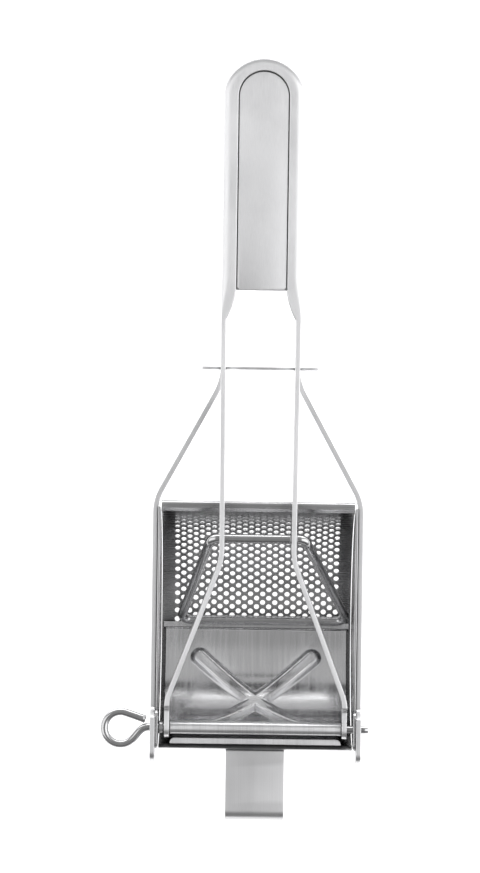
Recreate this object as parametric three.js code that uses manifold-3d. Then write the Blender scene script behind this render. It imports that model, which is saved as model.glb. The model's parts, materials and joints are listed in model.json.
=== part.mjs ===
// Potato ricer: a half-round trough carried by a flared strap handle, a lever with a curved press plate,
// a wire link that holds the plate to the lever, and a hinge pin that pulls out by its eye.
// Millimetres, +Z up, +X right, +Y from the hinge towards the handles. The pieces are drawn round the
// hinge pin's axis, and the whole is then moved so that the origin is under the pot hook.
import * as THREE from "three";
import { mergeVertices } from "three/addons/utils/BufferGeometryUtils.js";
import Module from "manifold-3d";

const wasm = await Module();
wasm.setup();

// Driving dimensions
const weldGap = 0.3; // left between pieces that are welded together or rest on each other
const sheet = 0.8; // the trough's and the press plate's sheet
const strap = 2; // the two handle straps

const pin = { radius: 1.65, rightEnd: 46.1, neckStart: -43.3 };
const pinHole = pin.radius + weldGap;
const eye = { radius: 6.6, x: -55, y: -0.5, start: -48, end: 72, tail: 8.6, neckPull: 4 };

const trough = { centreY: 40.75, radius: 47.5, rearLip: 92.6, frontLip: -9, halfWidth: 39.5 };
const rearLipDrop = 3.2;
const wall = { inner: 39.8, thickness: 1, radius: 49.3, lugTop: 4, lugFront: -6, lugRear: 4.5, lugFoot: 7.5 };
const edgeStrip = { halfWidth: 34.9, front: -6.45, rear: -4.1, bottom: -2.5, top: 1 };

const frame = {
  half: 43, waist: 16.15, narrow: 16.15, front: -14, flareStart: 92.9, flareEnd: 142, end: 270,
  bottom: -13, top: -1,
};
const ear = { top: 5, rear: 6.3, corner: 4.5 };
const lever = {
  half: 37.2, waist: 15.6, narrow: 16.2, front: -8, flareStart: 12, flareEnd: 69.3, end: 273,
  bottom: -5.5, top: 5.5,
};
const leverEye = { radius: 4.3, rear: 7.5, rise: 2 }; // the arms' narrower ends round the pin
const leverTilt = THREE.MathUtils.degToRad(4); // lets the closed lever clear the trough's rear rim
const flareBend = 3; // how far from a strap's corner its bend begins

const handle = { flangeWidth: 5.85, flange: 1.2, taperStart: 167, flangeStart: 181, insertStart: 178.9 };
const insert = { base: 1, sunk: 0.5, grooveGap: 0.4 };

const potRest = { y: 146.3, thickness: 1.2, half: 23.9, top: -5, bottom: -17, corner: 3 };
const hook = { half: 12, thickness: 1.2, root: -7.9, tip: -37.9, top: -2, rootBottom: -12, tipBottom: -13 };
const hookRestY = -21; // where the pot's rim bears on the hook, and the part's origin

const link = { radius: 1.95, topHalf: 19.1, topY: 77.4, topZ: 4.5, lowHalf: 34.9, lowY: 42.3, lowZ: -39.25 };
const linkPlay = 3.2; // how far the link's lower bar has slid to the right along the plate
const linkBend = 3.6; // radius of the link's four corners
const linkJoint = { x: 14.6, gap: 0.4 };

const plate = { centreY: 37.5, centreZ: -4, radius: 38.3, half: 37.6, top: -3.25 };
const plateNotch = { half: 34.8, rear: 8, bottom: -7.5 }; // room for the lever's two eyes
const ledge = { half: 38.6, rear: 41.2, overlap: 0.5 }; // the flat rear edge that the link bears on
const rib = { halfX: 26.2, halfRise: 23.1, width: 8, height: 1.9, angle: 40 };
const tube = { radius: 2.95, half: 34.9 };
const collar = { radius: 2.6, left: -39.5, right: -37.5 };

// Solids from three.js geometries, and back
function solidFrom(geometry) {
  const bare = geometry.clone();
  bare.deleteAttribute("normal");
  bare.deleteAttribute("uv");
  const merged = mergeVertices(bare, 1e-4);
  const vertProperties = merged.attributes.position.array;
  const triVerts = new Uint32Array(merged.index.array);
  return new wasm.Manifold(new wasm.Mesh({ numProp: 3, vertProperties, triVerts }));
}

function geometryFrom(solid) {
  const { vertProperties, triVerts } = solid.getMesh();
  const geometry = new THREE.BufferGeometry();
  geometry.setAttribute("position", new THREE.BufferAttribute(vertProperties, 3));
  geometry.setIndex(new THREE.BufferAttribute(triVerts, 1));
  geometry.computeVertexNormals();
  return geometry;
}

// Extrusions: a plan (x, y) along Z, a side view (y, z) along X, and a front view (x, z) along Y
function extrude(shape, depth, curveSegments) {
  return new THREE.ExtrudeGeometry(shape, { depth, bevelEnabled: false, curveSegments });
}

function fromPlan(shape, bottom, top, curveSegments = 8) {
  return solidFrom(extrude(shape, top - bottom, curveSegments).translate(0, 0, bottom));
}

const axisX = new THREE.Vector3(1, 0, 0);
const axisY = new THREE.Vector3(0, 1, 0);
const axisZ = new THREE.Vector3(0, 0, 1);
const sideToWorld = new THREE.Matrix4().makeBasis(axisY, axisZ, axisX);
const frontToWorld = new THREE.Matrix4().makeBasis(axisX, axisZ, axisY.clone().negate());

function fromSide(shape, left, right, curveSegments = 8) {
  const geometry = extrude(shape, right - left, curveSegments).applyMatrix4(sideToWorld);
  return solidFrom(geometry.translate(left, 0, 0));
}

function fromFront(shape, near, far, curveSegments = 4) {
  const geometry = extrude(shape, far - near, curveSegments).applyMatrix4(frontToWorld);
  return solidFrom(geometry.translate(0, far, 0));
}

function rodAlongX(radius, left, right, y = 0, z = 0, sides = 24) {
  const rod = new THREE.CylinderGeometry(radius, radius, right - left, sides).rotateZ(Math.PI / 2);
  return solidFrom(rod.translate((left + right) / 2, y, z));
}

function block(x0, x1, y0, y1, z0, z1) {
  const box = new THREE.BoxGeometry(x1 - x0, y1 - y0, z1 - z0);
  return solidFrom(box.translate((x0 + x1) / 2, (y0 + y1) / 2, (z0 + z1) / 2));
}

// A path through corners, each inner one rounded between points `bend` away from it
function addCorners(path, corners, bend) {
  corners.forEach((corner, i) => {
    const next = corners[i + 1];
    const before = path.currentPoint.clone();
    if (!next) {
      path.lineTo(corner.x, corner.y);
      return;
    }
    const entry = before.sub(corner).setLength(bend).add(corner);
    const exit = next.clone().sub(corner).setLength(bend).add(corner);
    path.lineTo(entry.x, entry.y);
    path.quadraticCurveTo(corner.x, corner.y, exit.x, exit.y);
  });
  return path;
}

// A closed outline of even thickness, to the right of an open path
function ribbon(path, thickness, divisions) {
  const outer = path.getPoints(divisions);
  const inner = outer.map((point, i) => {
    const back = (i ? point.clone().sub(outer[i - 1]) : outer[1].clone().sub(point)).normalize();
    const ahead = (outer[i + 1] ? outer[i + 1].clone().sub(point) : back.clone()).normalize();
    const along = back.clone().add(ahead).normalize();
    const mitre = thickness / along.dot(ahead);
    return new THREE.Vector2(point.x + along.y * mitre, point.y - along.x * mitre);
  });
  return new THREE.Shape([...outer, ...inner.reverse()]);
}

// Strap and handle
function strapPath(s) {
  const at = (x, y) => new THREE.Vector2(x, y);
  const loopY = s.end - s.narrow;
  const path = new THREE.Path().moveTo(-s.half, s.front);
  const flare = [at(s.half, s.flareStart), at(s.waist, s.flareEnd), at(s.narrow, handle.taperStart)];
  addCorners(path, [...flare.map(({ x, y }) => at(-x, y)), at(-s.narrow, loopY)], flareBend);
  path.absarc(0, loopY, s.narrow, Math.PI, 0, true);
  return addCorners(path, [...flare.reverse(), at(s.half, s.front)], flareBend);
}

function flangeShape(s) {
  const loopY = s.end - s.narrow;
  const inner = s.narrow - handle.flangeWidth;
  const lip = s.narrow - strap / 2;
  const shape = new THREE.Shape().moveTo(-s.narrow, handle.taperStart);
  shape.lineTo(-s.narrow, loopY).absarc(0, loopY, s.narrow, Math.PI, 0, true);
  shape.lineTo(s.narrow, handle.taperStart).lineTo(lip, handle.taperStart);
  shape.quadraticCurveTo(inner, handle.flangeStart - handle.flangeWidth, inner, handle.flangeStart);
  shape.lineTo(inner, loopY).absarc(0, loopY, inner, 0, Math.PI, false);
  shape.lineTo(-inner, handle.flangeStart);
  shape.quadraticCurveTo(-inner, handle.flangeStart - handle.flangeWidth, -lip, handle.taperStart);
  return shape;
}

// The strap bent in plan, with its handle's two inturned flanges, cut to its outline in side view
function handleStrap(s, sideShape) {
  return fromPlan(ribbon(strapPath(s), strap, 8), s.bottom - 1, Math.max(s.top, ear.top) + 1)
    .intersect(fromSide(sideShape, -s.half - 1, s.half + 1))
    .add(fromPlan(flangeShape(s), s.top - handle.flange, s.top))
    .add(fromPlan(flangeShape(s), s.bottom, s.bottom + handle.flange));
}

function tongue(half, end, start) {
  const shape = new THREE.Shape().moveTo(-half, start).lineTo(half, start).lineTo(half, end);
  return shape.absarc(0, end, half, 0, Math.PI, false).lineTo(-half, start);
}

// The insert fills the handle's slot on the side that the palm touches: up on the lever, down below
function handleInsert(s, facing) {
  const loopY = s.end - s.narrow;
  const baseHalf = s.narrow - strap - weldGap;
  const panelHalf = s.narrow - handle.flangeWidth - insert.grooveGap;
  const face = (facing > 0 ? s.top : s.bottom) - facing * insert.sunk;
  const seat = (facing > 0 ? s.top : s.bottom) - facing * (handle.flange + weldGap);
  const back = seat - facing * insert.base;
  const start = handle.insertStart;
  const base = fromPlan(tongue(baseHalf, loopY, start), Math.min(seat, back), Math.max(seat, back));
  const panelBack = seat - (facing * insert.base) / 2;
  const panel = tongue(panelHalf, loopY, start);
  return base.add(fromPlan(panel, Math.min(face, panelBack), Math.max(face, panelBack)));
}

function frameSide() {
  const { front, end, bottom, top } = frame;
  const shape = new THREE.Shape().moveTo(end + 1, bottom).lineTo(end + 1, top);
  shape.lineTo(ear.rear + 3, top).quadraticCurveTo(ear.rear, top, ear.rear, top + 3);
  shape.quadraticCurveTo(ear.rear, ear.top, ear.rear - 3, ear.top);
  shape.lineTo(front + ear.corner, ear.top).quadraticCurveTo(front, ear.top, front, ear.top - ear.corner);
  shape.lineTo(front, bottom + ear.corner);
  return shape.quadraticCurveTo(front, bottom, front + ear.corner, bottom);
}

function lowerHandleFrame() {
  return handleStrap(frame, frameSide()).subtract(rodAlongX(pinHole, -50, 50));
}

function leverSide() {
  const { end, bottom, top } = lever;
  const { radius, rear, rise } = leverEye;
  const shape = new THREE.Shape().moveTo(0, -radius).lineTo(rear, -radius).lineTo(rear + rise, bottom);
  shape.lineTo(end + 1, bottom).lineTo(end + 1, top).lineTo(rear + rise, top).lineTo(rear, radius);
  return shape.lineTo(0, radius).absarc(0, 0, radius, Math.PI / 2, 1.5 * Math.PI, false);
}

function leverFrame() {
  const holeAt = new THREE.Vector2(link.topY, link.topZ).rotateAround(new THREE.Vector2(), -leverTilt);
  const linkHole = link.radius + weldGap;
  return handleStrap(lever, leverSide())
    .subtract(rodAlongX(pinHole, -50, 50))
    .subtract(rodAlongX(linkHole, -20, 20, holeAt.x, holeAt.y));
}

// Basket
function troughShape() {
  const { centreY, radius, rearLip, frontLip } = trough;
  const outer = radius + sheet;
  const turn = Math.asin(sheet / outer);
  const shape = new THREE.Shape().moveTo(rearLip, -rearLipDrop).lineTo(rearLip, 0);
  shape.lineTo(centreY + radius, 0).absarc(centreY, 0, radius, 0, Math.PI, true);
  shape.lineTo(frontLip, 0).lineTo(frontLip, -sheet);
  shape.absarc(centreY, 0, outer, Math.PI + turn, 2 * Math.PI - turn, false);
  return shape.lineTo(rearLip - sheet, -sheet).lineTo(rearLip - sheet, -rearLipDrop);
}

function sideWall(side) {
  const front = trough.centreY - wall.radius;
  const rear = trough.centreY + wall.radius;
  const { lugTop, lugFront, lugRear, lugFoot } = wall;
  const shape = new THREE.Shape().moveTo(front, 0).quadraticCurveTo(front, lugTop, lugFront, lugTop);
  shape.lineTo(lugRear, lugTop).quadraticCurveTo(lugFoot, lugTop, lugFoot, 0);
  shape.lineTo(rear, 0).absarc(trough.centreY, 0, wall.radius, 0, Math.PI, true);
  const outer = wall.inner + wall.thickness;
  const [left, right] = side > 0 ? [wall.inner, outer] : [-outer, -wall.inner];
  return fromSide(shape, left, right, 20).subtract(rodAlongX(pinHole, left - 1, right + 1));
}

function frontEdgeStrip() {
  const { halfWidth, front, rear, bottom, top } = edgeStrip;
  const round = (rear - front) * 0.45;
  const shape = new THREE.Shape().moveTo(-halfWidth, front).lineTo(halfWidth, front);
  shape.lineTo(halfWidth, rear - round).quadraticCurveTo(halfWidth, rear, halfWidth - 2 * round, rear);
  shape.lineTo(2 * round - halfWidth, rear).quadraticCurveTo(-halfWidth, rear, -halfWidth, rear - round);
  return fromPlan(shape, bottom, top);
}

function potHook() {
  const { root, tip, top, rootBottom, tipBottom, thickness, half } = hook;
  const at = (y, z) => new THREE.Vector2(y, z);
  const path = new THREE.Path().moveTo(tip, tipBottom);
  addCorners(path, [at(tip, top), at((root + tip) / 2, top)], 4.5);
  addCorners(path, [at(root, top), at(root, rootBottom)], 2);
  return fromSide(ribbon(path, thickness, 6), -half, half);
}

// A plate on edge that is slotted over both straps and reaches past them on each side
function potRestPlate() {
  const { half, top, bottom, corner } = potRest;
  const slotOuter = frame.narrow + weldGap;
  const slotInner = frame.narrow - strap - weldGap;
  const slotBottom = frame.bottom - weldGap;
  const shape = new THREE.Shape().moveTo(corner - half, bottom).lineTo(half - corner, bottom);
  shape.quadraticCurveTo(half, bottom, half, bottom + corner).lineTo(half, top);
  shape.lineTo(slotOuter, top).lineTo(slotOuter, slotBottom).lineTo(slotInner, slotBottom);
  shape.lineTo(slotInner, top).lineTo(-slotInner, top).lineTo(-slotInner, slotBottom);
  shape.lineTo(-slotOuter, slotBottom).lineTo(-slotOuter, top).lineTo(-half, top);
  shape.lineTo(-half, bottom + corner).quadraticCurveTo(-half, bottom, corner - half, bottom);
  return fromFront(shape, potRest.y, potRest.y + potRest.thickness);
}

// Press plate: a quarter cylinder below the pin, with a wider flat ledge for the link at its rear edge
function plateShape() {
  const { centreY, centreZ, radius, top } = plate;
  const inner = radius - sheet;
  const shape = new THREE.Shape().moveTo(centreY - radius, top).lineTo(centreY - radius, centreZ);
  shape.absarc(centreY, centreZ, radius, Math.PI, 1.5 * Math.PI, false);
  shape.lineTo(centreY, centreZ - inner);
  shape.absarc(centreY, centreZ, inner, 1.5 * Math.PI, Math.PI, true);
  return shape.lineTo(centreY - inner, top);
}

// Two crossed ribs raised on the plate's hollow face
function plateRibs() {
  const root = plate.radius - sheet + 0.1;
  const crest = plate.radius - sheet - rib.height;
  const sector = new THREE.Shape().absarc(0, 0, root, Math.PI, 1.5 * Math.PI, false);
  sector.absarc(0, 0, crest, 1.5 * Math.PI, Math.PI, true);
  const shell = fromSide(sector, -rib.halfX, rib.halfX, 16).translate([0, plate.centreY, plate.centreZ]);
  const length = 2 * Math.hypot(rib.halfX, rib.halfRise);
  const middle = new THREE.Vector3(0, plate.centreY, plate.centreZ);
  const bars = [-1, 1].map((side) => {
    const bar = new THREE.BoxGeometry(length, rib.width, 2 * plate.radius);
    bar.rotateZ(side * Math.atan2(rib.halfRise, rib.halfX)).translate(0, 0, -plate.radius);
    bar.rotateX(THREE.MathUtils.degToRad(rib.angle - 90)).translate(...middle);
    return solidFrom(bar);
  });
  return shell.intersect(bars[0].add(bars[1]));
}

function pressPlate() {
  const { half, centreY, centreZ, radius } = plate;
  const notch = plateNotch;
  const ledgeFront = centreY - ledge.overlap;
  const bottom = centreZ - radius;
  const body = fromSide(plateShape(), -half, half, 12)
    .add(plateRibs())
    .add(block(-ledge.half, ledge.half, ledgeFront, ledge.rear, bottom, bottom + sheet));
  return [-1, 1].reduce((left, side) => {
    const [x0, x1] = side > 0 ? [notch.half, half + 1] : [-half - 1, -notch.half];
    return left.subtract(block(x0, x1, -5, notch.rear, notch.bottom, 0));
  }, body);
}

function ringOnPin(radius, left, right) {
  return rodAlongX(radius, left, right).subtract(rodAlongX(pinHole, left - 1, right + 1));
}

// Wire
function wire(curvePath, radius, steps, sides) {
  const section = new THREE.Shape().absarc(0, 0, radius, 0, 2 * Math.PI, false);
  const options = { steps, extrudePath: curvePath, curveSegments: sides / 2 };
  return solidFrom(new THREE.ExtrudeGeometry(section, options));
}

function linkPath() {
  const { topHalf, topY, topZ, lowHalf, lowY, lowZ } = link;
  const at = (x, y, z) => new THREE.Vector3(x, y, z);
  const corners = [
    at(-topHalf, topY, topZ), at(linkPlay - lowHalf, lowY, lowZ),
    at(linkPlay + lowHalf, lowY, lowZ), at(topHalf, topY, topZ),
  ];
  const path = new THREE.CurvePath();
  const last = at(linkJoint.x + linkJoint.gap / 2, topY, topZ);
  let from = at(linkJoint.x - linkJoint.gap / 2, topY, topZ);
  corners.forEach((corner, i) => {
    const back = from.clone().sub(corner).normalize();
    const ahead = (corners[i + 1] ?? last).clone().sub(corner).normalize();
    const angle = back.angleTo(ahead);
    const bend = linkBend / Math.tan(angle / 2);
    const pull = bend - (linkBend * 4 * Math.tan((Math.PI - angle) / 4)) / 3;
    const onBack = (reach) => corner.clone().addScaledVector(back, reach);
    const onAhead = (reach) => corner.clone().addScaledVector(ahead, reach);
    const entry = onBack(bend);
    const exit = onAhead(bend);
    path.add(new THREE.LineCurve3(from, entry));
    path.add(new THREE.CubicBezierCurve3(entry, onBack(pull), onAhead(pull), exit));
    from = exit;
  });
  path.add(new THREE.LineCurve3(from, last));
  return path;
}

// The pin runs straight through the hinge, then swings round into an open eye
function pinPath() {
  const onEye = (degrees) => {
    const angle = THREE.MathUtils.degToRad(degrees);
    return new THREE.Vector3(eye.x + eye.radius * Math.cos(angle), eye.y + eye.radius * Math.sin(angle), 0);
  };
  const heading = (degrees) => {
    const angle = THREE.MathUtils.degToRad(degrees);
    return new THREE.Vector3(Math.sin(angle), -Math.cos(angle), 0);
  };
  const neck = new THREE.Vector3(pin.neckStart, 0, 0);
  const eyeStart = onEye(eye.start);
  const path = new THREE.CurvePath();
  path.add(new THREE.LineCurve3(new THREE.Vector3(pin.rightEnd, 0, 0), neck));
  const neckEnd = neck.clone().setX(neck.x - eye.neckPull);
  const eyeEntry = eyeStart.clone().addScaledVector(heading(eye.start), -eye.neckPull);
  path.add(new THREE.CubicBezierCurve3(neck, neckEnd, eyeEntry, eyeStart));
  const turn = 360 - (eye.end - eye.start);
  const arcs = 6;
  for (let i = 0; i < arcs; i++) {
    const from = eye.start - (turn * i) / arcs;
    const to = eye.start - (turn * (i + 1)) / arcs;
    const reach = (eye.radius * 4 * Math.tan(THREE.MathUtils.degToRad((from - to) / 4))) / 3;
    const control = onEye(from).addScaledVector(heading(from), reach);
    const control2 = onEye(to).addScaledVector(heading(to), -reach);
    path.add(new THREE.CubicBezierCurve3(onEye(from), control, control2, onEye(to)));
  }
  const tailStart = onEye(eye.end);
  path.add(new THREE.LineCurve3(tailStart, tailStart.clone().addScaledVector(heading(eye.end), eye.tail)));
  return path;
}

// Materials
const steel = (color, roughness) => new THREE.MeshStandardMaterial({ color, roughness, metalness: 1 });
const satinStrap = () => steel(0xc4c5c6, 0.38);
const brushedPanel = () => steel(0xbcbdbe, 0.42);
const basketSheet = () => steel(0xa9abad, 0.3);
const polishedPlate = () => steel(0xb4b6b8, 0.22);
const wireSteel = () => steel(0xc0c1c2, 0.2);

function piece(name, solid, material) {
  const mesh = new THREE.Mesh(geometryFrom(solid), material);
  mesh.name = name;
  return mesh;
}

// Assembly
const basket = new THREE.Group();
basket.add(
  piece("basket_trough", fromSide(troughShape(), -trough.halfWidth, trough.halfWidth, 20), basketSheet()),
  piece("side_wall_left", sideWall(-1), basketSheet()),
  piece("side_wall_right", sideWall(1), basketSheet()),
  piece("front_edge_strip", frontEdgeStrip(), basketSheet()),
  piece("lower_handle_frame", lowerHandleFrame(), satinStrap()),
  piece("lower_handle_insert", handleInsert(frame, -1), brushedPanel()),
  piece("pot_rest", potRestPlate(), satinStrap()),
  piece("pot_hook", potHook(), satinStrap()),
  piece("pin_collar", ringOnPin(collar.radius, collar.left, collar.right), wireSteel()),
  piece("hinge_pin", wire(pinPath(), pin.radius, 64, 12), wireSteel()),
);

const tiltedLever = new THREE.Group();
tiltedLever.rotation.x = leverTilt;
tiltedLever.add(
  piece("lever_frame", leverFrame(), satinStrap()),
  piece("upper_handle_insert", handleInsert(lever, 1), brushedPanel()),
);

const press = new THREE.Group();
press.add(
  tiltedLever,
  piece("press_link", wire(linkPath(), link.radius, 72, 12), wireSteel()),
  piece("press_plate", pressPlate(), polishedPlate()),
  piece("press_plate_tube", ringOnPin(tube.radius, -tube.half, tube.half), polishedPlate()),
);

const assembly = new THREE.Group();
assembly.position.set(0, -hookRestY, hook.thickness - hook.top);
assembly.add(basket, press);

const ricer = new THREE.Group();
ricer.add(assembly);

export default ricer;
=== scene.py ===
import json
import math

import bmesh
import bpy
from mathutils import Matrix, Vector


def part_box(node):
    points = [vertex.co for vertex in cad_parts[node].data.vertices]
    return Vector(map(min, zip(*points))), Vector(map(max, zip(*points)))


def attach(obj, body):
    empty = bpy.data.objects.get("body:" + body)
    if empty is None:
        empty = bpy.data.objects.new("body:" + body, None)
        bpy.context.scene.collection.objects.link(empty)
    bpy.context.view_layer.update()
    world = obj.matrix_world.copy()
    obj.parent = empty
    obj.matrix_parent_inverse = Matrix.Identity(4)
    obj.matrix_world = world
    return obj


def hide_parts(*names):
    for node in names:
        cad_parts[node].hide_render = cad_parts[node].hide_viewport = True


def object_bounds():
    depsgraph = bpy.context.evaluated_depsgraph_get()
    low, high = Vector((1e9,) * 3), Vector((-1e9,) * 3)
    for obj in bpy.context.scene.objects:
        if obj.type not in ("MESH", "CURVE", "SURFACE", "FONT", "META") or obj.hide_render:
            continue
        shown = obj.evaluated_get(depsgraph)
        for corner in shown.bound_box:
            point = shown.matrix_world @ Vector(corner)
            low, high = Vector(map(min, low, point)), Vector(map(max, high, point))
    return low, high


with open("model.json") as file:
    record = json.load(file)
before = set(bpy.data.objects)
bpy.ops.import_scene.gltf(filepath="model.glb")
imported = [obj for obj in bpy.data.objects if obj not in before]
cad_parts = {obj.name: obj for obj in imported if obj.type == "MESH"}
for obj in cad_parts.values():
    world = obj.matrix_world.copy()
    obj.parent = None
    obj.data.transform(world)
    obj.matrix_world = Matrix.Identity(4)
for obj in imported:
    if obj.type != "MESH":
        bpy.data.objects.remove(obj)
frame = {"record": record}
cad_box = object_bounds()

# Every shape below is drawn in millimetres round the hinge pin's axis, with +Y towards the handles,
# and placed() moves it into the row frame in metres.
MM = 0.001
JOINTS = {joint["name"]: joint for joint in frame["record"]["behaviour"]["joints"]}
HINGE = Vector(JOINTS["lever_hinge"]["pos_m"])


def cad(node):
    """Lowest and highest corner of a CAD node, in millimetres round the hinge."""
    low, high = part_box(node)
    return (Vector(low) - HINGE) / MM, (Vector(high) - HINGE) / MM


trough_low, trough_high = cad("basket_trough")
wall_low, wall_high = cad("side_wall_right")
strap_low, strap_high = cad("lower_handle_frame")
strip_low, strip_high = cad("front_edge_strip")
hook_low, hook_high = cad("pot_hook")
rest_low, rest_high = cad("pot_rest")
tube_low, tube_high = cad("press_plate_tube")
collar_low, collar_high = cad("pin_collar")
plate_high = cad("press_plate")[1]
link_high = cad("press_link")[1]
pin_high = cad("hinge_pin")[1]

SHEET = 0.8  # thickness of the trough and of the press plate
STRAP = 2.0  # thickness of the two handle straps
CLEARANCE = 0.3  # between parts that slide over each other
PIN_R = 1.65
PIN_HOLE = PIN_R + CLEARANCE
LINK_R = 1.95
LINK_HOLE = LINK_R + CLEARANCE
LEVER_TILT = math.radians(4)

# The two straps in plan. They leave the hinge at `half`, come in to `waist` over the `flare`, and end
# in a loop of radius `narrow`; `bends` are the radii of the corners on the way.
FRAME = {"half": strap_high.x, "waist": 16.15, "narrow": 16.15, "front": strap_low.y,
         "flare": (92.9, 142.0), "bends": (20, 24, 60), "end": strap_high.y,
         "low": strap_low.z, "top": -1.0}
LEVER = {"half": 37.2, "waist": 15.6, "narrow": 16.2, "front": -4.25,
         "flare": (12.0, 69.3), "bends": (16, 24, 60), "end": 273.0,
         "low": -5.5, "top": 5.5}
EAR = {"top": 5.0, "step": (3.7, 8.7), "corner": 4.5}
LEVER_EYE = {"radius": 4.3, "rear": 7.5, "rise": 2.0}
# The handle's inturned flanges grow over `taper`, and its outer edges are rounded by `curl` (x, z).
HANDLE = {"flange": 5.85, "thick": 1.2, "taper": (167.0, 181.0), "curl": (3.0, 2.1), "insert": 178.9}


# ---------------------------------------------------------------- mesh helpers
def placed(point):
    """A point in millimetres round the hinge, as a point of the row frame."""
    return HINGE + Vector(point) * MM


def piece_from(name, points, faces, sharp=35):
    mesh = bpy.data.meshes.new(name)
    mesh.from_pydata([placed(p) for p in points], [], faces)
    obj = bpy.data.objects.new(name, mesh)
    bpy.context.scene.collection.objects.link(obj)
    clean_mesh(obj, sharp)
    return obj


def clean_mesh(obj, sharp=35):
    """Faces pointing out, smooth shading, and sharp edges over an angle."""
    shape = bmesh.new()
    shape.from_mesh(obj.data)
    bmesh.ops.remove_doubles(shape, verts=shape.verts, dist=1e-7)
    bmesh.ops.recalc_face_normals(shape, faces=shape.faces)
    shape.to_mesh(obj.data)
    shape.free()
    obj.data.shade_smooth()
    obj.data.set_sharp_from_angle(angle=math.radians(sharp))


def apply_modifiers(obj, sharp=35):
    made = obj.evaluated_get(bpy.context.evaluated_depsgraph_get())
    mesh = bpy.data.meshes.new_from_object(made)
    obj.modifiers.clear()
    obj.data = mesh
    clean_mesh(obj, sharp)


def bevel(obj, width, segments):
    """Rounds every edge that turns by more than 40 degrees."""
    edge = obj.modifiers.new("edge", "BEVEL")
    edge.width = width * MM
    edge.segments = segments
    edge.limit_method = "ANGLE"
    edge.angle_limit = math.radians(40)
    edge.use_clamp_overlap = True
    apply_modifiers(obj)


def thicken(obj, sharp=35):
    """Gives an open sheet its thickness, upwards from the face it was drawn as."""
    shape = bmesh.new()
    shape.from_mesh(obj.data)
    loose = [v for v in shape.verts if not v.link_faces]
    bmesh.ops.delete(shape, geom=loose, context="VERTS")
    lowest = min(shape.faces, key=lambda f: f.calc_center_median().z)
    if lowest.normal.z > 0:
        bmesh.ops.reverse_faces(shape, faces=shape.faces)
    shape.to_mesh(obj.data)
    shape.free()
    skin = obj.modifiers.new("skin", "SOLIDIFY")
    skin.thickness = SHEET * MM
    skin.offset = -1
    apply_modifiers(obj, sharp)


def band(a, b, count):
    """Faces between two rings of points that start at a and b."""
    return [(a + i, a + (i + 1) % count, b + (i + 1) % count, b + i) for i in range(count)]


def loft(name, rings, sharp=35):
    """A skin over rings of points, closed at both ends."""
    count = len(rings[0])
    points = [p for ring in rings for p in ring]
    faces = [tuple(range(count)), tuple(range(len(points) - count, len(points)))]
    for r in range(len(rings) - 1):
        faces += band(r * count, (r + 1) * count, count)
    return piece_from(name, points, faces, sharp)


def prism(name, outline, low, high, lift):
    """An outline swept from low to high; lift(a, b, c) puts outline point (a, b) at depth c."""
    return loft(name, [[lift(a, b, c) for a, b in outline] for c in (low, high)])


def plan(a, b, c):
    return (a, b, c)


def side(a, b, c):
    return (c, a, b)


def front(a, b, c):
    return (a, c, b)


def arc(cx, cy, radius, start, end, steps):
    """Points on a circle, angles in degrees."""
    turn = [math.radians(start + (end - start) * i / steps) for i in range(steps + 1)]
    return [(cx + radius * math.cos(a), cy + radius * math.sin(a)) for a in turn]


def smooth(low, high, x):
    """0 up to low, 1 from high on, and an even S-curve between."""
    t = min(1.0, max(0.0, (x - low) / (high - low)))
    return t * t * (3 - 2 * t)


def bore(obj, y, z, radius, reach=60):
    """Cuts a round hole along X through obj."""
    sides = 48
    ring = arc(y, z, radius, 0, 360 - 360 / sides, sides - 1)
    cutter = prism("cutter", ring, -reach, reach, side)
    cut = obj.modifiers.new("bore", "BOOLEAN")
    cut.operation = "DIFFERENCE"
    cut.solver = "EXACT"
    cut.object = cutter
    apply_modifiers(obj)
    bpy.data.objects.remove(cutter)


def tilted(obj):
    """Turns a piece drawn along the lever by the lever's tilt about the hinge."""
    tilt = Matrix.Rotation(LEVER_TILT, 4, "X")
    obj.data.transform(Matrix.Translation(HINGE) @ tilt @ Matrix.Translation(-HINGE))
    return obj


def wire(name, route, radius, sides=20):
    """A round wire along a route of points, with slightly broken ends."""
    broken = 0.25
    rings = []
    count = len(route)
    up = None
    for i, here in enumerate(route):
        ahead = (route[min(i + 1, count - 1)] - route[max(i - 1, 0)]).normalized()
        if up is None:
            up = ahead.orthogonal().normalized()
        up = (up - ahead * up.dot(ahead)).normalized()
        across = ahead.cross(up)
        stops = [(here, radius)]
        if i == 0:
            stops = [(here, radius - broken), (here + ahead * broken, radius)]
        elif i == count - 1:
            stops = [(here - ahead * broken, radius), (here, radius - broken)]
        for centre, size in stops:
            turns = [2 * math.pi * k / sides for k in range(sides)]
            rings.append([centre + (up * math.cos(t) + across * math.sin(t)) * size for t in turns])
    return loft(name, rings, sharp=50)


def rounded_route(corners, radii, step=1.5):
    """A route through corners, each inner one rounded to its own radius."""
    steps = 12  # along each rounded corner
    route = [corners[0]]
    for before, corner, after, radius in zip(corners, corners[1:], corners[2:], radii):
        back = (before - corner).normalized()
        ahead = (after - corner).normalized()
        half_angle = back.angle(ahead) / 2
        if half_angle > math.radians(89.9):  # the route goes straight on here
            route.append(corner)
            continue
        centre = corner + (back + ahead).normalized() * radius / math.sin(half_angle)
        start = (corner + back * radius / math.tan(half_angle) - centre).normalized()
        end = (corner + ahead * radius / math.tan(half_angle) - centre).normalized()
        route += [centre + start.slerp(end, i / steps) * radius for i in range(steps + 1)]
    route.append(corners[-1])
    fine = [route[0]]
    for a, b in zip(route, route[1:]):
        parts = max(1, round((b - a).length / step))
        fine += [a.lerp(b, k / parts) for k in range(1, parts + 1)]
    return fine


# ---------------------------------------------------------------- materials
def link(tree, a, b):
    tree.links.new(a, b)


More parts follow.
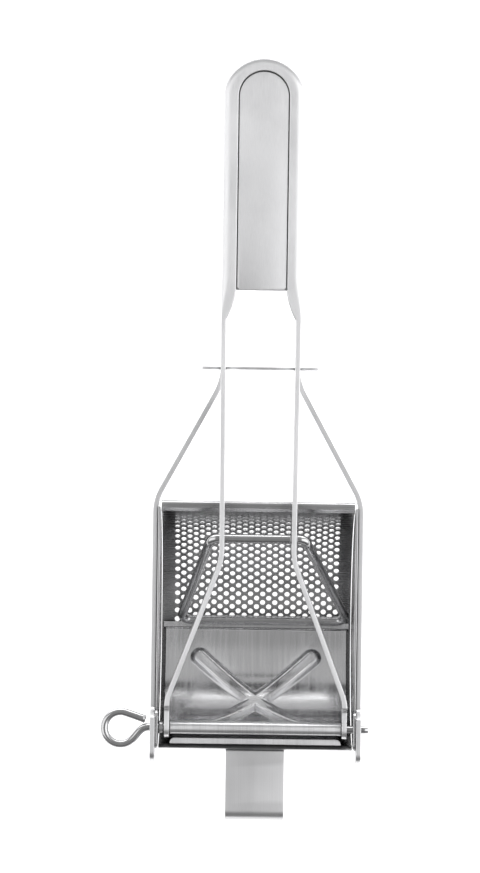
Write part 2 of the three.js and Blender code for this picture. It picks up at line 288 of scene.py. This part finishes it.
def math_node(tree, kind, a, b):
    node = tree.nodes.new("ShaderNodeMath")
    node.operation = kind
    for socket, value in zip(node.inputs, (a, b)):
        if isinstance(value, (int, float)):
            socket.default_value = value
        else:
            link(tree, value, socket)
    return node.outputs[0]


def noise(tree, coords, scale, stretch, detail):
    mapping = tree.nodes.new("ShaderNodeMapping")
    mapping.inputs["Scale"].default_value = stretch
    link(tree, coords, mapping.inputs["Vector"])
    made = tree.nodes.new("ShaderNodeTexNoise")
    made.inputs["Scale"].default_value = scale
    made.inputs["Detail"].default_value = detail
    link(tree, mapping.outputs[0], made.inputs["Vector"])
    return made.outputs["Fac"]


def remap(tree, value, low, high, start=0.3, end=0.7):
    """Values from start to end become low to high. Noise lies mostly between 0.3 and 0.7."""
    node = tree.nodes.new("ShaderNodeMapRange")
    node.inputs["From Min"].default_value = start
    node.inputs["From Max"].default_value = end
    node.inputs["To Min"].default_value = low
    node.inputs["To Max"].default_value = high
    link(tree, value, node.inputs["Value"])
    return node.outputs["Result"]


def steel(name, shade, roughness, grain, grain_depth, spread=0.06, wear_and_highlight=0.12, anisotropy=0.0,
          painted_shade=0.6, reach=6.0):
    """Stainless steel. grain is the noise stretch that draws the brushing, long along one axis.

    With anisotropy the gloss is spread along X, as it is by brushing that runs across X. Corners
    and gaps within `reach` millimetres get painted shade: their colour is darkened by up to the given
    fraction. Sharp edges are painted brighter, partly as rubbed wear and partly as a painted highlight.
    """
    material = bpy.data.materials.new(name)
    material.use_nodes = True
    tree = material.node_tree
    shader = tree.nodes["Principled BSDF"]
    shader.inputs["Metallic"].default_value = 1.0
    shader.inputs["Anisotropic"].default_value = anisotropy
    if anisotropy:
        across = tree.nodes.new("ShaderNodeCombineXYZ")
        across.inputs["X"].default_value = 1.0
        link(tree, across.outputs[0], shader.inputs["Tangent"])
    coords = tree.nodes.new("ShaderNodeTexCoord").outputs["Object"]
    lines = noise(tree, coords, 1.0, grain, 4.0)
    smudge = noise(tree, coords, 38.0, (1, 1, 1), 2.0)
    # colour: the grain's lines, faint clouding, edges painted brighter (partly rubbed wear, partly a
    # painted highlight), and painted shade in corners and gaps
    lined = remap(tree, lines, shade * (1 - spread), shade * (1 + spread))
    clouded = math_node(tree, "MULTIPLY", lined, remap(tree, smudge, 0.96, 1.03))
    # Sharp edges painted brighter: partly rubbed wear, partly a painted highlight along the edges
    geometry = tree.nodes.new("ShaderNodeNewGeometry")
    rubbed_and_highlit = remap(tree, geometry.outputs["Pointiness"], 0.0, wear_and_highlight, 0.52, 0.6)
    # Painted shade: ambient occlusion darkens the colour in corners, creases and gaps between parts
    corners = tree.nodes.new("ShaderNodeAmbientOcclusion")
    corners.samples = 6
    corners.inputs["Distance"].default_value = reach * MM
    shaded_corners = remap(tree, corners.outputs["AO"], 1 - painted_shade, 1.0, 0.15, 0.85)
    value = math_node(tree, "MULTIPLY", math_node(tree, "ADD", clouded, rubbed_and_highlit), shaded_corners)
    combine = tree.nodes.new("ShaderNodeCombineColor")
    cool = 1.012  # steel is a touch blue
    link(tree, value, combine.inputs[0])
    link(tree, value, combine.inputs[1])
    link(tree, math_node(tree, "MULTIPLY", value, cool), combine.inputs[2])
    link(tree, combine.outputs[0], shader.inputs["Base Color"])
    # roughness: streaked with the grain, smudged by handling
    streaked = remap(tree, lines, roughness - 0.05, roughness + 0.06)
    handled = math_node(tree, "ADD", streaked, remap(tree, smudge, -0.03, 0.04))
    link(tree, handled, shader.inputs["Roughness"])
    bump = tree.nodes.new("ShaderNodeBump")
    bump.inputs["Strength"].default_value = 0.5
    bump.inputs["Distance"].default_value = grain_depth
    link(tree, lines, bump.inputs["Height"])
    link(tree, bump.outputs[0], shader.inputs["Normal"])
    return material


# noise stretches: the grain is long along the axis with the small number
ALONG_X = (25, 2600, 2600)
ALONG_Y = (2600, 22, 2600)
FINE_Y = (5200, 16, 5200)
ACROSS_X = (900, 40, 40)
FINE_ACROSS_X = (2600, 60, 60)
CLOUD = (300, 300, 300)

# Each material's darkened corners below are painted shade, and its brightened edges are partly rubbed
# wear and partly a painted highlight
STRAP_STEEL = steel("strap_satin", 0.72, 0.36, CLOUD, 0.000012, spread=0.03, wear_and_highlight=0.2)
# The lower strap's steel is the band steel with a darker colour: painted shade for the strap that lies
# below the lever
FRAME_STEEL = steel("frame_satin", 0.66, 0.42, FINE_Y, 0.000004, spread=0.02, anisotropy=0.7,
                    painted_shade=0.8, reach=2.5)
BAND_STEEL = steel("band_satin", 0.80, 0.42, FINE_Y, 0.000004, spread=0.02, anisotropy=0.75,
                   painted_shade=0.8, reach=2.5)
PANEL_STEEL = steel("panel_brushed", 0.78, 0.42, FINE_Y, 0.000006, spread=0.035, anisotropy=0.75,
                    painted_shade=0.9, reach=2.0)
TROUGH_STEEL = steel("trough_sheet", 0.50, 0.24, ALONG_X, 0.000002, spread=0.02,
                     painted_shade=0.8, reach=12.0)
WALL_STEEL = steel("wall_sheet", 0.5, 0.26, ALONG_Y, 0.000006, spread=0.05, wear_and_highlight=0.3,
                   painted_shade=0.8, reach=12.0)
PLATE_STEEL = steel("plate_bright", 0.8, 0.18, ACROSS_X, 0.000003, spread=0.04, anisotropy=0.3,
                    painted_shade=0.7, reach=3.0)
TUBE_STEEL = steel("tube_bright", 0.72, 0.32, FINE_ACROSS_X, 0.000004, anisotropy=0.8)
WIRE_STEEL = steel("wire_polished", 0.52, 0.14, CLOUD, 0.000004, spread=0.04, painted_shade=0.3)
HOOK_STEEL = steel("hook_brushed", 0.57, 0.42, FINE_Y, 0.000006, spread=0.05, anisotropy=0.6)
COLLAR_STEEL = steel("collar_rough", 0.6, 0.3, CLOUD, 0.00008, spread=0.12)


def settle(obj, material, body, slot, *nodes):
    """Gives a finished piece its material and its body, and hides the CAD nodes it stands for. The slot
    is not used.
    """
    obj.data.materials.clear()
    obj.data.materials.append(material)
    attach(obj, body)
    if nodes:
        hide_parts(*nodes)


# ---------------------------------------------------------------- strap and handle
def strap_stations(s):
    """Points of the strap's outer face in plan, from the left front end round to the right one."""
    spacing = 0.6
    loop_y = s["end"] - s["narrow"]
    corners = [Vector(p).to_3d() for p in (
        (-s["half"], s["front"]), (-s["half"], s["flare"][0]), (-s["waist"], s["flare"][1]),
        (-s["narrow"], HANDLE["taper"][0]), (-s["narrow"], loop_y))]
    left = [(p.x, p.y) for p in rounded_route(corners, s["bends"], spacing)]
    loop = arc(0, loop_y, s["narrow"], 180, 0, 40)
    return left + loop[1:-1] + [(-x, y) for x, y in reversed(left)]


def strap_section(y, height):
    """(inward, z) points round the strap's section, which has inturned flanges on the handle."""
    edge, tip_x, tip_z, steps = 0.35, 0.35, 0.3, 6  # roundings, and points round each
    top, low = height(y)
    start, full = HANDLE["taper"]
    grown = min(1.0, max(0.0, (y - start) / (full - start)))
    curl = smooth(start, full + 4, y)
    reach = STRAP + 0.02 + (HANDLE["flange"] - STRAP) * (1 - (1 - grown) ** 2)
    thick = min(HANDLE["thick"], (top - low) / 3)
    round_x = edge + HANDLE["curl"][0] * curl
    round_z = min(edge + HANDLE["curl"][1] * curl, (top - low) / 2.2)
    tip_z = min(tip_z, thick)
    quarter = [math.radians(90 * i / steps) for i in range(steps + 1)]
    half = [(round_x * (1 - math.cos(a)), top - round_z * (1 - math.sin(a))) for a in quarter]
    half += [(reach - tip_x * (1 - math.sin(a)), top - tip_z * (1 - math.cos(a))) for a in quarter]
    half += [(reach - 0.15, top - thick), (STRAP, top - thick)]
    return half + [(a, low + top - b) for a, b in reversed(half)]


def handle_strap(name, s, height):
    stations = strap_stations(s)
    rings = []
    for i, (x, y) in enumerate(stations):
        bx, by = stations[max(i - 1, 0)]
        ax, ay = stations[min(i + 1, len(stations) - 1)]
        along = Vector((ax - bx, ay - by)).normalized()
        inward = Vector((along.y, -along.x))
        rings.append([(x + inward.x * a, y + inward.y * a, z) for a, z in strap_section(y, height)])
    return loft(name, rings)


def frame_height(y):
    """Top and bottom of the lower strap: an ear round the pin, then a level strap."""
    nose = max(0.0, EAR["corner"] - (y - FRAME["front"]))
    cut = EAR["corner"] - math.sqrt(max(0.0, EAR["corner"] ** 2 - nose**2))
    top = FRAME["top"] + (EAR["top"] - FRAME["top"]) * (1 - smooth(*EAR["step"], y))
    return top - cut, FRAME["low"] + cut


def lever_height(y):
    """Top and bottom of the lever: a round eye about the pin, then a step up to the strap's depth."""
    eye, rear, rise = LEVER_EYE["radius"], LEVER_EYE["rear"], LEVER_EYE["rise"]
    half = math.sqrt(eye**2 - min(y, 0.0) ** 2)
    half += (LEVER["top"] - eye) * smooth(rear, rear + rise, y)
    return half, -half


def tongue(half, loop_y):
    """A panel's outline: square towards the hinge, round at the handle's end."""
    start, corner = HANDLE["insert"], 1.0
    outline = [(-half, start + corner), (-half + corner, start), (half - corner, start)]
    return outline + [(half, start + corner)] + arc(0, loop_y, half, 0, 180, 48)


def slab(name, half, loop_y, face, back, edge, segments):
    """A flat tongue between two heights, with rounded edges."""
    made = prism(name, tongue(half, loop_y), min(face, back), max(face, back), plan)
    bevel(made, edge, segments)
    return made


def handle_insert(name, s, facing):
    """The panel in the handle's slot, and the seat that closes the groove round it.

    facing is 1 for a panel that shows on top and -1 for one that shows underneath.
    """
    groove, sunk, depth = 0.42, 0.55, 1.7
    loop_y = s["end"] - s["narrow"]
    outside = s["top"] if facing > 0 else s["low"]
    face = outside - facing * sunk
    half = s["narrow"] - HANDLE["flange"] - groove
    panel = slab(name, half, loop_y, face, face - facing * depth, 0.25, 3)
    seat_face = outside - facing * (HANDLE["thick"] + CLEARANCE)
    seat_half = s["narrow"] - STRAP - CLEARANCE
    seat = slab(name + "_seat", seat_half, loop_y, seat_face, seat_face - facing, 0.2, 2)
    return panel, seat


lever_strap = tilted(handle_strap("lever_strap", LEVER, lever_height))
bore(lever_strap, 0, 0, PIN_HOLE)
bore(lever_strap, link_high.y - LINK_R, link_high.z - LINK_R, LINK_HOLE, 20)
settle(lever_strap, BAND_STEEL, "lever", "strap_steel", "lever_frame")

frame_strap = handle_strap("frame_strap", FRAME, frame_height)
bore(frame_strap, 0, 0, PIN_HOLE)
settle(frame_strap, FRAME_STEEL, "basket", "strap_steel", "lower_handle_frame")

upper_panel, upper_seat = handle_insert("upper_panel", LEVER, 1)
settle(tilted(upper_panel), PANEL_STEEL, "lever", "panel_steel", "upper_handle_insert")
settle(tilted(upper_seat), PANEL_STEEL, "lever", "panel_steel")
lower_panel, lower_seat = handle_insert("lower_panel", FRAME, -1)
settle(lower_panel, PANEL_STEEL, "basket", "panel_steel", "lower_handle_insert")
settle(lower_seat, PANEL_STEEL, "basket", "panel_steel")


# ---------------------------------------------------------------- trough
TROUGH_R = 47.5
TROUGH_Y = 40.75
SKIN_R = TROUGH_R + SHEET
ARC_END = 2.2  # degrees that the half-round stops short of level at each rim
RIM_BEND = 0.9
RIM_DROP = -3.2  # bottom of the rear rim's turned-down edge
HOLE_R = 1.1
PITCH_X = 2.55
COLUMNS = 27
ROWS = 31
CELL = 4  # lattice steps along and across one hole's cell
AROUND = 4 * CELL  # lattice points round a cell
STEP_X = PITCH_X / CELL
STEP_ARC = 0.94
FIRST_ARC = 11  # mm round the arc from the rear rim to the first row
STEPS_ROUND = round(math.pi * TROUGH_R / STEP_ARC)


def trough_profile():
    """The sheet's outer face in side view: the rear rim, the half-round, and the front rim's edge.

    Returns the points, and the number of them that come before the half-round.
    """
    outer = trough_high.y - SHEET
    rear = [(outer, RIM_DROP), (outer, -RIM_BEND - SHEET)]
    rear += arc(outer - RIM_BEND, -RIM_BEND - SHEET, RIM_BEND, 0, 90, 4)[1:]
    rear.append((TROUGH_Y + TROUGH_R + RIM_BEND + SHEET, -SHEET))
    half_round = arc(TROUGH_Y, 0, SKIN_R, -ARC_END, ARC_END - 180, STEPS_ROUND)
    return rear + half_round + [(trough_low.y + 0.2, -SHEET)], len(rear)


def on_trough(x, row):
    """A point of the half-round's face, at a number of lattice rows from its rear end."""
    turn = math.radians(-ARC_END - (180 - 2 * ARC_END) * row / STEPS_ROUND)
    return (x, TROUGH_Y + SKIN_R * math.cos(turn), SKIN_R * math.sin(turn))


def trough_sheet():
    """The half-round sheet with its two rims and a staggered field of real holes."""
    half = trough_high.x
    half_field = COLUMNS * PITCH_X / 2
    margin = [-half + (half - half_field) * k / 3 for k in range(3)]
    field = [-half_field + STEP_X * i for i in range(COLUMNS * CELL + 1)]
    xs = margin + field + [-x for x in reversed(margin)]
    profile, start = trough_profile()
    points = [(x, y, z) for y, z in profile for x in xs]

    def corner(i, j):
        return j * len(xs) + i

    faces, taken = [], set()
    for column in range(COLUMNS):
        stagger = CELL // 2 * (column % 2)
        for row in range(ROWS):
            i0 = len(margin) + column * CELL
            row0 = round(FIRST_ARC / STEP_ARC) + row * CELL + stagger
            j0 = start + row0
            edge = [corner(i0 + k, j0) for k in range(CELL)]
            edge += [corner(i0 + CELL, j0 + k) for k in range(CELL)]
            edge += [corner(i0 + CELL - k, j0 + CELL) for k in range(CELL)]
            edge += [corner(i0, j0 + CELL - k) for k in range(CELL)]
            ring = []
            for k in range(AROUND):
                a = math.radians(-135 + 360 * k / AROUND)
                x = xs[i0] + PITCH_X / 2 + HOLE_R * math.cos(a)
                ring.append(len(points))
                points.append(on_trough(x, row0 + CELL / 2 + HOLE_R / STEP_ARC * math.sin(a)))
            for k in range(AROUND):
                after = (k + 1) % AROUND
                faces.append((edge[k], edge[after], ring[after], ring[k]))
            taken.update((i0 + a, j0 + b) for a in range(CELL) for b in range(CELL))
    for j in range(len(profile) - 1):
        for i in range(len(xs) - 1):
            if (i, j) not in taken:
                faces.append((corner(i, j), corner(i + 1, j), corner(i + 1, j + 1), corner(i, j + 1)))
    sheet = piece_from("trough", points, faces)
    thicken(sheet)
    return sheet


settle(trough_sheet(), TROUGH_STEEL, "basket", "basket_steel", "basket_trough")


def side_wall(name, low, high):
    """A half-round wall with a lug round the pin."""
    top, front_corner, rear, rear_corner = wall_high.z, 2.5, 7.3, 2.8
    outline = [(wall_low.y, 0)]
    outline += arc(wall_low.y + front_corner, top - front_corner, front_corner, 180, 90, 6)
    outline += arc(rear - rear_corner, top - rear_corner, rear_corner, 90, 0, 6)
    outline.append((rear, 0))
    outline += arc(TROUGH_Y, 0, wall_high.y - TROUGH_Y, 0, -180, 90)[:-1]
    wall = prism(name, outline, low, high, side)
    bevel(wall, 0.22, 2)
    bore(wall, 0, 0, PIN_HOLE)
    return wall


right_wall = side_wall("wall_right", wall_low.x, wall_high.x)
settle(right_wall, WALL_STEEL, "basket", "basket_steel", "side_wall_right")
left_wall = side_wall("wall_left", -wall_high.x, -wall_low.x)
settle(left_wall, WALL_STEEL, "basket", "basket_steel", "side_wall_left")


def edge_strip():
    """The folded strip along the inside of the front rim, with rounded ends."""
    corner = 0.9 * (strip_high.y - strip_low.y)
    end = strip_high.x
    outline = [(-end, strip_low.y), (end, strip_low.y)]
    outline += arc(end - corner, strip_high.y - corner, corner, 0, 90, 8)
    outline += arc(corner - end, strip_high.y - corner, corner, 90, 180, 8)
    strip = prism("front_strip", outline, strip_low.z, strip_high.z, plan)
    bevel(strip, 0.7, 5)
    return strip


settle(edge_strip(), TUBE_STEEL, "basket", "basket_steel", "front_edge_strip")


def hook():
    """The pot hook: up the front wall, out along a flat top, and down over the pot's rim."""
    thick, root_bend, tip_bend, top_step, sag = 1.2, 4.4, 1.9, 2.5, 0.12
    top = hook_high.z
    crown = [(hook_low.y, hook_low.z), (hook_low.y, top - root_bend)]
    crown += arc(hook_low.y + root_bend, top - root_bend, root_bend, 180, 92, 10)[1:]
    crown += [(hook_low.y + root_bend + k * top_step, top - sag) for k in range(1, 9)]
    crown += arc(hook_high.y - tip_bend, top - tip_bend, tip_bend, 90, 0, 6)
    crown.append((hook_high.y, hook_low.z + 1))
    inner = []
    for i, (y, z) in enumerate(crown):
        by, bz = crown[max(i - 1, 0)]
        ay, az = crown[min(i + 1, len(crown) - 1)]
        along = Vector((ay - by, az - bz)).normalized()
        inner.append((y + along.y * thick, z - along.x * thick))
    tab = prism("hook", crown + inner[::-1], hook_low.x, hook_high.x, side)
    bevel(tab, 0.3, 3)
    return tab


settle(hook(), HOOK_STEEL, "basket", "strap_steel", "pot_hook")


def pot_rest():
    """A plate on edge, slotted over both arms of the lower strap."""
    corner, slot_low = 3, strap_low.z - CLEARANCE
    outer, inner = FRAME["narrow"] + CLEARANCE, FRAME["narrow"] - STRAP - CLEARANCE
    right = arc(rest_high.x - corner, rest_low.z + corner, corner, -90, 0, 6)
    right += [(rest_high.x, rest_high.z), (outer, rest_high.z), (outer, slot_low)]
    right += [(inner, slot_low), (inner, rest_high.z)]
    outline = right + [(-x, z) for x, z in reversed(right)]
    plate = prism("pot_rest_plate", outline, rest_low.y, rest_high.y, front)
    bevel(plate, 0.25, 2)
    return plate


settle(pot_rest(), STRAP_STEEL, "basket", "strap_steel", "pot_rest")


# ---------------------------------------------------------------- press plate
PLATE_Y, PLATE_Z = 37.5, -4.0  # centre of the quarter round
PLATE_R = 38.3
PLATE_HALF = 37.6
RIB_X, RIB_ARC = 26.2, 25.0  # half the X's extent across the plate and round its arc
RIB_W, RIB_H = 8.2, 1.9
RIB_ANGLE = 40.0  # where the X's middle sits on the arc, from the upper edge


def rib_lift(x, arc_pos):
    """How far the embossed X stands up at a point of the plate, from its middle."""
    best = 0.0
    length = math.hypot(RIB_X, RIB_ARC)
    for sign in (1, -1):
        ux, ua = RIB_X / length, sign * RIB_ARC / length
        along = x * ux + arc_pos * ua
        across = abs(x * ua - arc_pos * ux)
        past = max(0.0, abs(along) - (length - RIB_W / 2))
        away = math.hypot(across, past) / (RIB_W / 2)
        best = max(best, 1 - smooth(0.35, 1.0, away))
    return best * RIB_H


def plate_profile():
    """The plate's lower face from the side: (y, z, outward y, outward z, distance from the X's middle).

    The distance is None on the flat stretches, which the X doesn't reach.
    """
    profile = [(PLATE_Y - PLATE_R, plate_high.z, -1, 0, None)]
    rows = 130
    for i in range(rows + 1):
        turn = math.pi + math.pi / 2 * i / rows
        c, s = math.cos(turn), math.sin(turn)
        arc_pos = PLATE_R * math.pi / 2 * (i / rows - RIB_ANGLE / 90)
        profile.append((PLATE_Y + PLATE_R * c, PLATE_Z + PLATE_R * s, c, s, arc_pos))
    steps, dip, crease = 20, 1.0, 0.9
    step_from, step_to = 0.4, 1.1  # mm behind the arc's end where the plate steps down to the ledge
    for k in range(1, steps + 1):
        y = PLATE_Y + (plate_high.y - PLATE_Y) * k / steps
        down = dip * smooth(PLATE_Y + step_from, PLATE_Y + step_to, y)
        down += crease * (1 - smooth(0.15, 0.55, abs(y - PLATE_Y - step_to)))
        profile.append((y, PLATE_Z - PLATE_R - down, 0, -1, None))
    return profile


def press_plate():
    """A quarter-round sheet with an embossed X, and a wider ledge for the link, a step below it."""
    columns = 210
    ledge_from = PLATE_Y + 0.6
    notch_half, notch_low, notch_rear = 34.8, -7.5, 8  # corners cut back to clear the lever's eyes
    profile = plate_profile()
    points, faces = [], []
    for y, z, ny, nz, arc_pos in profile:
        for i in range(columns + 1):
            x = -PLATE_HALF + 2 * PLATE_HALF * i / columns
            lift = 0.0 if arc_pos is None else rib_lift(x, arc_pos)
            if y > ledge_from:
                x *= plate_high.x / PLATE_HALF
            if z > notch_low and y < notch_rear:
                x = max(-notch_half, min(notch_half, x))
            points.append((x, y - ny * lift, z - nz * lift))
    for j in range(len(profile) - 1):
        for i in range(columns):
            a = j * (columns + 1) + i
            faces.append((a, a + 1, a + columns + 2, a + columns + 1))
    plate = piece_from("plate", points, faces, 60)
    thicken(plate, 50)
    return plate


settle(press_plate(), PLATE_STEEL, "lever", "plate_steel", "press_plate")


def ring_on_pin(name, low, high, radius, edge):
    """A ring or tube round the pin, turned from a closed section, with its edges broken."""
    near = [(edge * (1 - math.cos(a)), edge * math.sin(a)) for a in (0.5, 1.05, 1.57)]
    far = [(edge * (1 - math.sin(a)), edge * math.cos(a)) for a in (0, 0.52, 1.07)]
    section = [(low, PIN_HOLE), (low, radius - edge)]
    section += [(low + x, radius - edge + r) for x, r in near]
    section += [(high - x, radius - edge + r) for x, r in far]
    section += [(high, radius - edge), (high, PIN_HOLE)]
    sides, count = 48, len(section)
    points, faces = [], []
    for k in range(sides):
        turn = 2 * math.pi * k / sides
        points += [(x, r * math.cos(turn), r * math.sin(turn)) for x, r in section]
        faces += band(k * count, (k + 1) % sides * count, count)
    return piece_from(name, points, faces)


plate_tube = ring_on_pin("plate_tube", tube_low.x, tube_high.x, tube_high.z, 0.3)
settle(plate_tube, TUBE_STEEL, "lever", "plate_steel", "press_plate_tube")
collar_ring = ring_on_pin("collar_ring", collar_low.x, collar_high.x, collar_high.z, 0.45)
settle(collar_ring, COLLAR_STEEL, "collar", "wire_steel", "pin_collar")


# ---------------------------------------------------------------- wire parts
def link_wire():
    """The trapezoid link, its two ends butted inside the right arm's hole."""
    top_y, top_z = link_high.y - LINK_R, link_high.z - LINK_R
    low_y, low_z = 42.3, -39.25
    top_half, low_half, bend = 19.1, 34.9, 3.6
    play = 3.2  # how far the long side sits to the right
    joint, gap = 14.6, 0.2
    corners = [Vector(p) for p in (
        (joint - gap, top_y, top_z), (-top_half, top_y, top_z), (play - low_half, low_y, low_z),
        (play + low_half, low_y, low_z), (top_half, top_y, top_z), (joint + gap, top_y, top_z))]
    return wire("link", rounded_route(corners, [bend] * 4), LINK_R)


settle(link_wire(), WIRE_STEEL, "lever", "wire_steel", "press_link")


def pin_wire():
    """The hinge pin: straight through the hinge, then round into an open eye."""
    eye_radius, eye_x, eye_y = 6.6, -55.0, -0.5
    start, end = -48, 72  # degrees where the eye's circle begins and ends
    tail = 8.6
    pull = 4  # how far the bend into the eye keeps each end's direction
    neck = Vector((-43.3, 0, 0))
    right = Vector((pin_high.x, 0, 0))

    def heading(degrees):
        turn = math.radians(degrees)
        return Vector((math.sin(turn), -math.cos(turn), 0))

    eye = [Vector((x, y, 0)) for x, y in arc(eye_x, eye_y, eye_radius, start, end - 360, 56)]
    route = [right.lerp(neck, k / 36) for k in range(36)]
    a, b, c, d = neck, neck - Vector((pull, 0, 0)), eye[0] - heading(start) * pull, eye[0]
    for k in range(14):
        t = k / 14
        route.append(a * (1 - t) ** 3 + b * 3 * t * (1 - t) ** 2 + c * 3 * t * t * (1 - t) + d * t**3)
    route += eye
    route += [eye[-1] + heading(end) * tail * k / 5 for k in range(1, 6)]
    return wire("pin", route, PIN_R, 24)


settle(pin_wire(), WIRE_STEEL, "pin", "wire_steel", "hinge_pin")


# ---------------------------------------------------------------- floor, light and camera
def floor():
    """A wide pale sheet just below the ricer."""
    reach, gap = 5.0, 0.0004
    glow_in_metal, glow_to_camera = 0.8, 0.95
    z = cad_box[0].z - gap
    corners = [(-reach, -reach, z), (reach, -reach, z), (reach, reach, z), (-reach, reach, z)]
    mesh = bpy.data.meshes.new("floor")
    mesh.from_pydata(corners, [], [(0, 1, 2, 3)])
    sheet = bpy.data.objects.new("floor", mesh)
    bpy.context.scene.collection.objects.link(sheet)
    paper = bpy.data.materials.new("floor_paper")
    paper.use_nodes = True
    shader = paper.node_tree.nodes["Principled BSDF"]
    shader.inputs["Base Color"].default_value = (0.9, 0.9, 0.9, 1)
    shader.inputs["Roughness"].default_value = 0.9
    shader.inputs["Specular IOR Level"].default_value = 0.1
    shader.inputs["Emission Color"].default_value = (1, 1, 1, 1)
    # bright enough to look white, and dimmer in the steel's reflections
    path = paper.node_tree.nodes.new("ShaderNodeLightPath").outputs["Is Camera Ray"]
    glow = remap(paper.node_tree, path, glow_in_metal, glow_to_camera, 0.0, 1.0)
    link(paper.node_tree, glow, shader.inputs["Emission Strength"])
    mesh.materials.append(paper)


def softbox(name, place, aim, width, depth, power):
    lamp = bpy.data.lights.new(name, "AREA")
    lamp.shape = "RECTANGLE"
    lamp.size = width
    lamp.size_y = depth
    lamp.energy = power
    obj = bpy.data.objects.new(name, lamp)
    obj.location = place
    obj.rotation_euler = (Vector(aim) - Vector(place)).to_track_quat("-Z", "Y").to_euler()
    bpy.context.scene.collection.objects.link(obj)


# the sky as (height on the unit sphere, light): dim, and darkest overhead
SKY = ((0.0, 0.45), (0.5, 0.5), (0.92, 0.44), (0.985, 0.34))
BACK_GLOW = 4.0  # extra light low down behind the handles
RIGHT_GLOW = 0.3
FRONT_SHADE = 0.6  # how much of the sky's light is lost in front of the hook


def sky():
    world = bpy.data.worlds.new("studio")
    world.use_nodes = True
    tree = world.node_tree
    coords = tree.nodes.new("ShaderNodeTexCoord").outputs["Generated"]
    split = tree.nodes.new("ShaderNodeSeparateXYZ")
    link(tree, coords, split.inputs[0])
    x, y, z = split.outputs
    ramp = tree.nodes.new("ShaderNodeValToRGB")
    stops = ramp.color_ramp.elements
    for height, light in SKY[1:-1]:
        stops.new(height).color = (light, light, light, 1)
    for stop, (height, light) in zip((stops[0], stops[-1]), (SKY[0], SKY[-1])):
        stop.position = height
        stop.color = (light, light, light, 1)
    link(tree, z, ramp.inputs[0])
    low_down = remap(tree, z, 1.0, 0.0, 0.22, 0.4)
    behind = math_node(tree, "MULTIPLY", remap(tree, y, 0.0, BACK_GLOW, 0.6, 0.9), low_down)
    shade = remap(tree, y, 1.0 - FRONT_SHADE, 1.0, -0.8, -0.25)
    light = math_node(tree, "ADD", math_node(tree, "MULTIPLY", ramp.outputs[0], shade), behind)
    light = math_node(tree, "ADD", light, remap(tree, x, 0.0, RIGHT_GLOW, 0.6, 0.95))
    link(tree, light, tree.nodes["Background"].inputs["Strength"])
    tree.nodes["Background"].inputs["Color"].default_value = (1, 1, 1, 1)
    bpy.context.scene.world = world


def studio():
    middle = (0, 0.12, 0)
    softbox("left_box", (-1.5, 0.1, 1.3), middle, 1.8, 2.0, 12)
    softbox("right_box", (1.5, 0.1, 1.2), middle, 1.8, 2.0, 16)
    sky()
    bpy.context.scene.view_settings.view_transform = "Standard"


def camera():
    """Straight down on the open trough, from 1.6 m, turned by under a degree."""
    distance, view_height, roll = 1.6, 0.356, math.radians(0.8)
    aim = placed((-7.9, 118.95, 0))
    lens = bpy.data.cameras.new("camera")
    lens.sensor_width = 36
    lens.lens = lens.sensor_width * distance / view_height
    lens.clip_start = 0.05
    lens.clip_end = 20
    obj = bpy.data.objects.new("camera", lens)
    obj.location = aim + Vector((0, 0, distance))
    obj.rotation_euler = (0, 0, roll)
    bpy.context.scene.collection.objects.link(obj)
    bpy.context.scene.camera = obj


floor()
studio()
camera()
